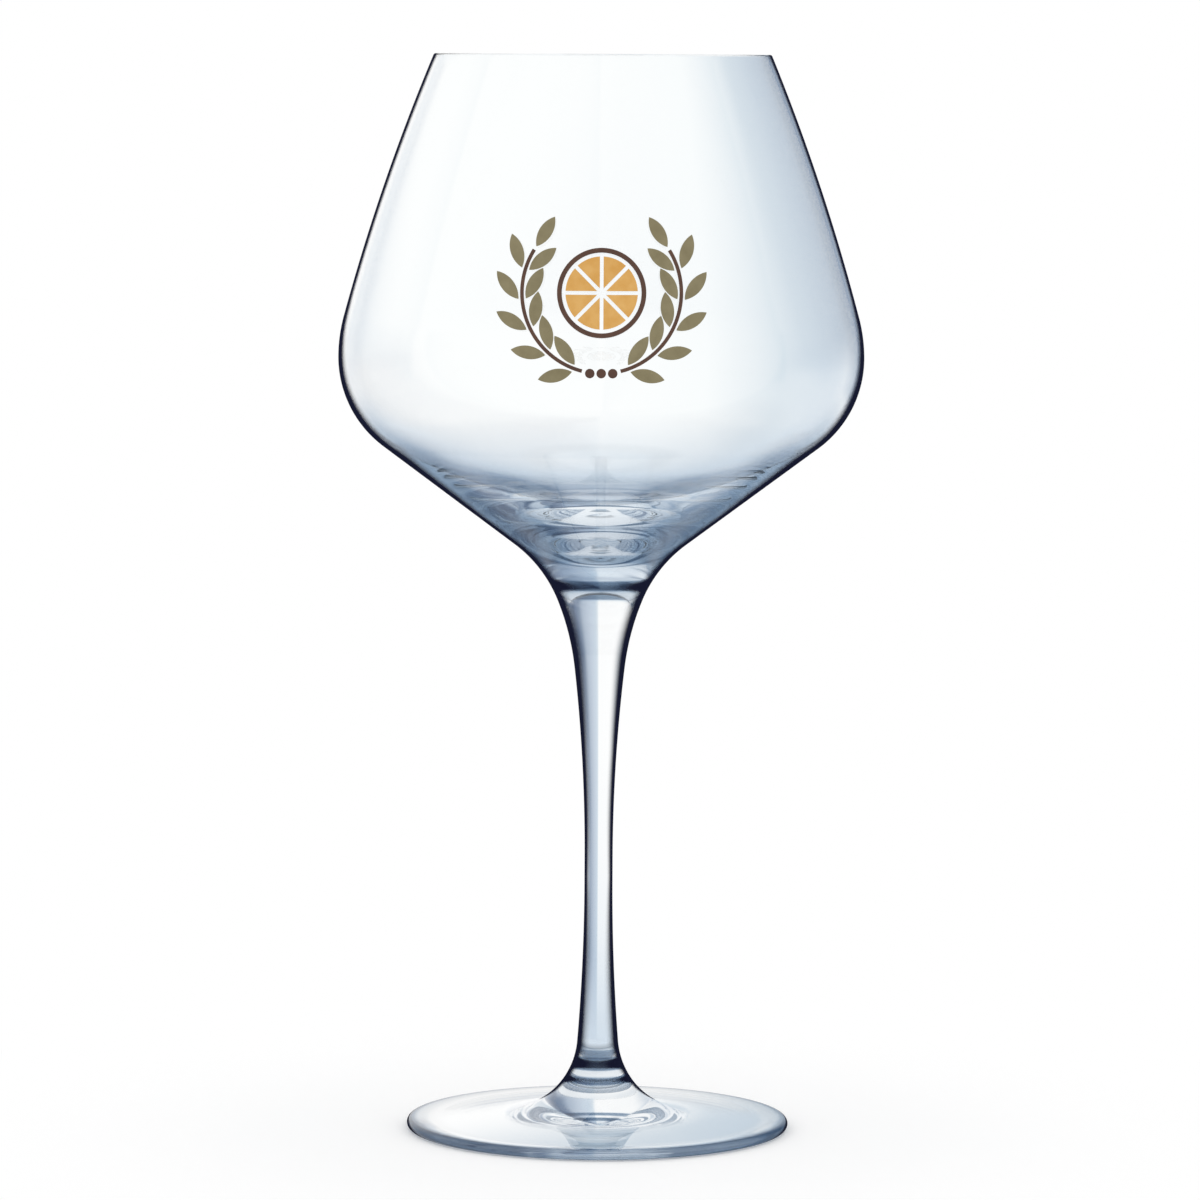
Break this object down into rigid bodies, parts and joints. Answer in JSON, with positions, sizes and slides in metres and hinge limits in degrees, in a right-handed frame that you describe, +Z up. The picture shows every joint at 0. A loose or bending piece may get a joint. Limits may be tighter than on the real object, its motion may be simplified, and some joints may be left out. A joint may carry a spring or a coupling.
{
  "type": "gin and tonic glass",
  "caption": "Stemmed balloon drinking glass with a wide belly narrowing to the rim, a slender drawn stem, a flat round foot and a small printed botanical wreath on the front.",
  "frame": {"origin": "centre of the foot, on the plane of the flat ring that the glass stands on", "axes": "+Z up along the axis of the glass, the printed side faces -Y, +X to the right as the print is seen"},
  "size_m": [0.103, 0.1031, 0.2117],
  "materials": {
    "clear_glass": "fire-polished clear soda-lime glass",
    "olive_ink": "fired enamel ink, satin",
    "brown_ink": "fired enamel ink, satin",
    "amber_ink": "fired enamel ink, satin"
  },
  "bodies": {
    "root": {"bowl": "clear_glass", "stem": "clear_glass", "foot": "clear_glass", "leaf_print": "olive_ink", "twig_print": "brown_ink", "citrus_print": "amber_ink"}
  },
  "joints": []
}
